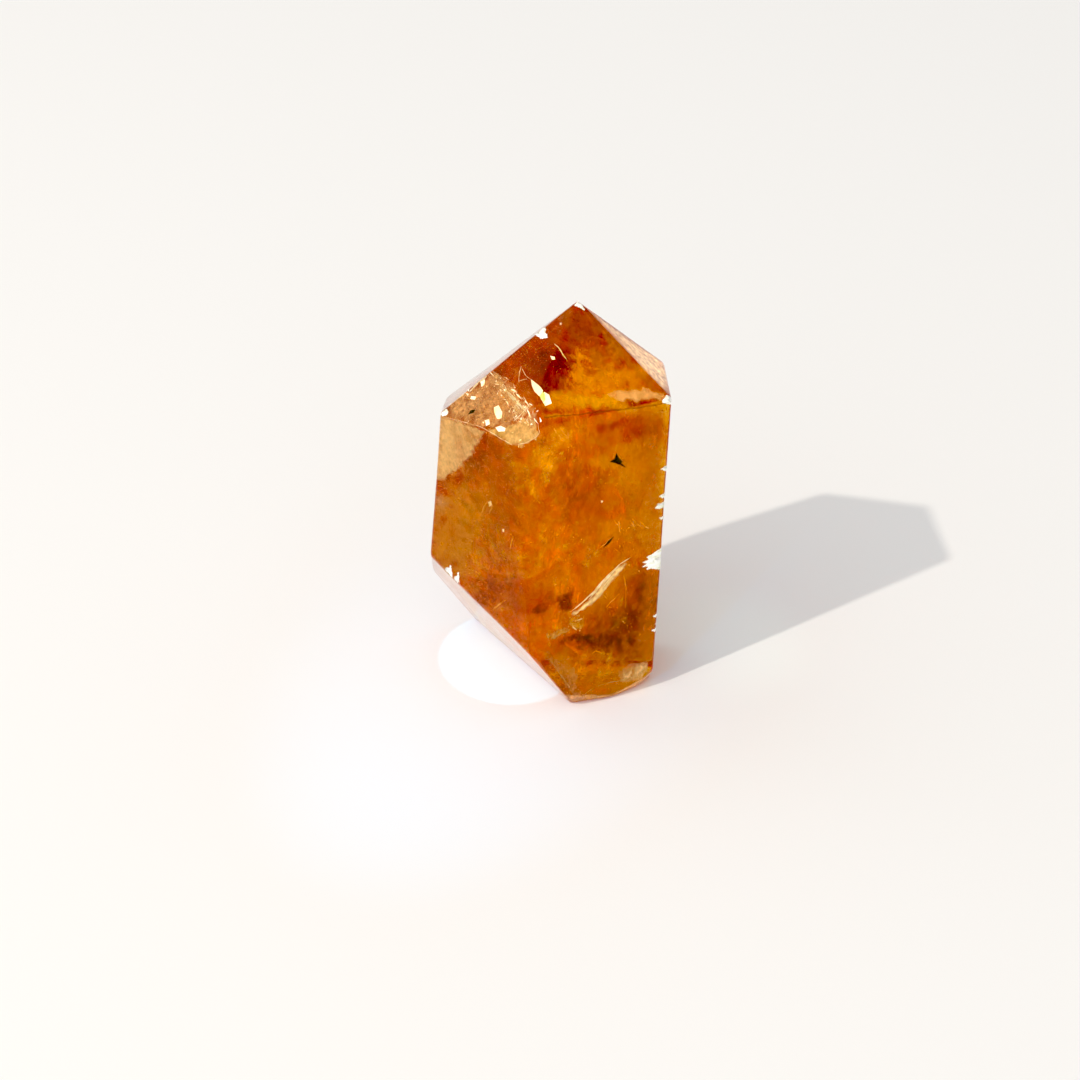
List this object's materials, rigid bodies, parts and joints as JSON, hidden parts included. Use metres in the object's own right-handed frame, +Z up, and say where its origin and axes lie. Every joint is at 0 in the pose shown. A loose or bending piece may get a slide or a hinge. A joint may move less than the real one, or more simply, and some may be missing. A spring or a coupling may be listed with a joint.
{
  "type": "citrine crystal point",
  "caption": "Cut and polished citrine crystal point: a six-sided see-through amber stone with a faceted tip that stands upright on a small flat foot.",
  "frame": {"origin": "centre of the stone's bounding box at its lowest plane, on the surface that the flat foot stands on", "axes": "+Z up along the crystal's length, from the foot to the tip; -Y towards the viewer of the front faces; +X to the viewer's right"},
  "size_m": [0.04, 0.0342, 0.0741],
  "materials": {
    "citrine": "polished, see-through amber quartz with cloudy veils, healed cracks and fine needles inside, and small nicks along the edges"
  },
  "bodies": {
    "root": {"crystal_point": "citrine"}
  },
  "joints": []
}
